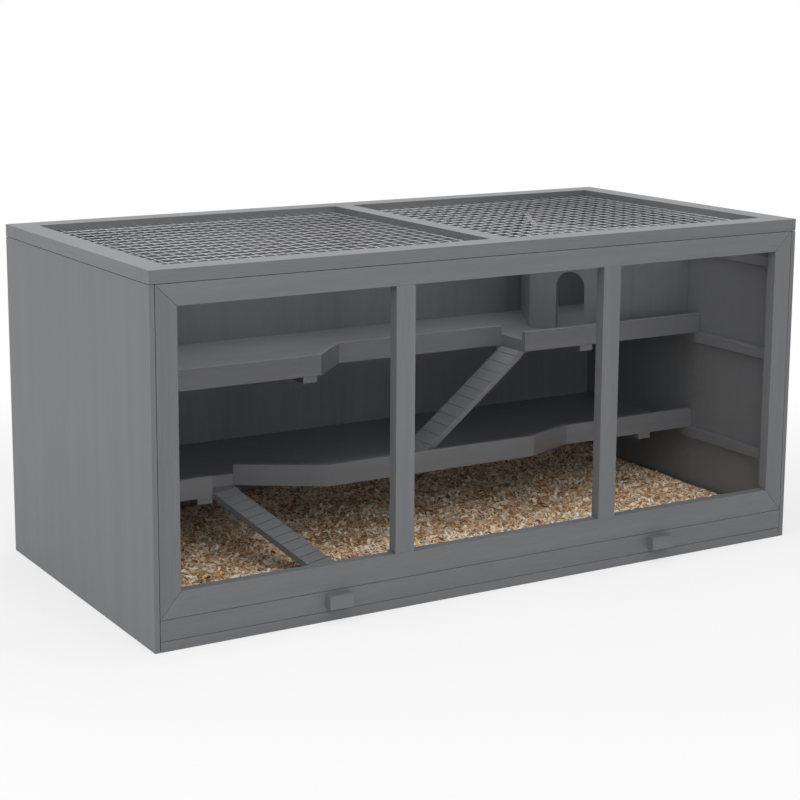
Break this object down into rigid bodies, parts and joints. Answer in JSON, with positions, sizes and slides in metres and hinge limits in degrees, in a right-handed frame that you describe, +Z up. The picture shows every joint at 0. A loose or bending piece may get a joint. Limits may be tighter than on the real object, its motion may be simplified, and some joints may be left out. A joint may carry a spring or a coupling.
{
  "type": "hamster cage",
  "caption": "Low wooden small-pet cage with a glazed front, two ramp-linked shelves, corner hut, slide-out bedding tray and hinged wire-mesh lid.",
  "frame": {"origin": "middle of the footprint, on the surface the cage stands on", "axes": "+X to the right along the long side, -Y out of the glazed front, +Z up"},
  "size_m": [1.15, 0.58, 0.537],
  "materials": {
    "grey_wood": "satin grey stain over fine straight grain",
    "grey_ply": "satin grey stain over plywood",
    "clear_sheet": "clear polished acrylic sheet",
    "wire_mesh": "welded galvanised wire",
    "hinge_steel": "zinc-plated steel",
    "bracket_steel": "satin grey paint",
    "pan_plastic": "matt dark grey moulded pan",
    "wood_shavings": "loose tan and brown wood shavings"
  },
  "bodies": {
    "case": {"back_panel": "grey_ply", "back_rail_bottom": "grey_wood", "back_rail_top": "grey_wood", "base_panel": "grey_ply", "base_rail_front": "grey_wood", "frame_rail_bottom": "grey_wood", "frame_rail_top": "grey_wood", "frame_stile_left": "grey_wood", "frame_stile_right": "grey_wood", "front_pane": "clear_sheet", "hut_back_panel": "grey_ply", "hut_door_panel": "grey_ply", "hut_front_panel": "grey_ply", "lid_hinge_leaf_lower_left": "hinge_steel", "lid_hinge_leaf_lower_right": "hinge_steel", "lid_hinge_pin_left": "hinge_steel", "lid_hinge_pin_right": "hinge_steel", "lower_batten_left": "grey_wood", "lower_batten_right": "grey_wood", "lower_cleat_left": "grey_wood", "lower_cleat_right": "grey_wood", "lower_landing_block": "grey_wood", "lower_landing_strip": "grey_wood", "lower_lip_left": "grey_wood", "lower_lip_right": "grey_wood", "lower_ramp_bracket": "bracket_steel", "lower_shelf": "grey_ply", "muntin_left": "grey_wood", "muntin_right": "grey_wood", "pane_strip_bottom": "grey_wood", "pane_strip_top": "grey_wood", "side_brace_left": "grey_wood", "side_brace_right": "grey_wood", "side_panel_left": "grey_ply", "side_panel_right": "grey_ply", "upper_batten_left": "grey_wood", "upper_batten_right": "grey_wood", "upper_cleat_left": "grey_wood", "upper_cleat_right": "grey_wood", "upper_landing_strip": "grey_wood", "upper_lip_left": "grey_wood", "upper_lip_right": "grey_wood", "upper_ramp_bracket": "bracket_steel", "upper_shelf": "grey_ply"},
    "lid": {"lid_bar": "grey_wood", "lid_hinge_leaf_upper_left": "hinge_steel", "lid_hinge_leaf_upper_right": "hinge_steel", "lid_mesh_left": "wire_mesh", "lid_mesh_right": "wire_mesh", "lid_rail_back": "grey_wood", "lid_rail_front": "grey_wood", "lid_rail_left": "grey_wood", "lid_rail_right": "grey_wood"},
    "tray": {"bedding": "wood_shavings", "tray_front": "grey_wood", "tray_knob_left": "grey_wood", "tray_knob_right": "grey_wood", "tray_pan": "pan_plastic"},
    "upper_ramp_body": {"upper_ramp": "grey_wood"},
    "lower_ramp_body": {"lower_ramp": "grey_wood"}
  },
  "joints": [
    {"name": "lid_hinge", "type": "hinge", "parent": "case", "child": "lid", "pos_m": [0, 0.287, 0.51755], "axis": [-1, 0, 0], "range_deg": [0, 105]},
    {"name": "tray_slide", "type": "slide", "parent": "case", "child": "tray", "axis": [0, -1, 0], "range_m": [0, 0.45]},
    {"name": "upper_ramp_hinge", "type": "hinge", "parent": "case", "child": "upper_ramp_body", "pos_m": [0.1884, -0.018, 0.30742], "axis": [0, 1, 0], "range_deg": [0, 35]},
    {"name": "lower_ramp_hinge", "type": "hinge", "parent": "case", "child": "lower_ramp_body", "pos_m": [-0.33926, -0.02234, 0.1357], "axis": [-0.91, -0.4147, 0], "range_deg": [0, 22]}
  ]
}
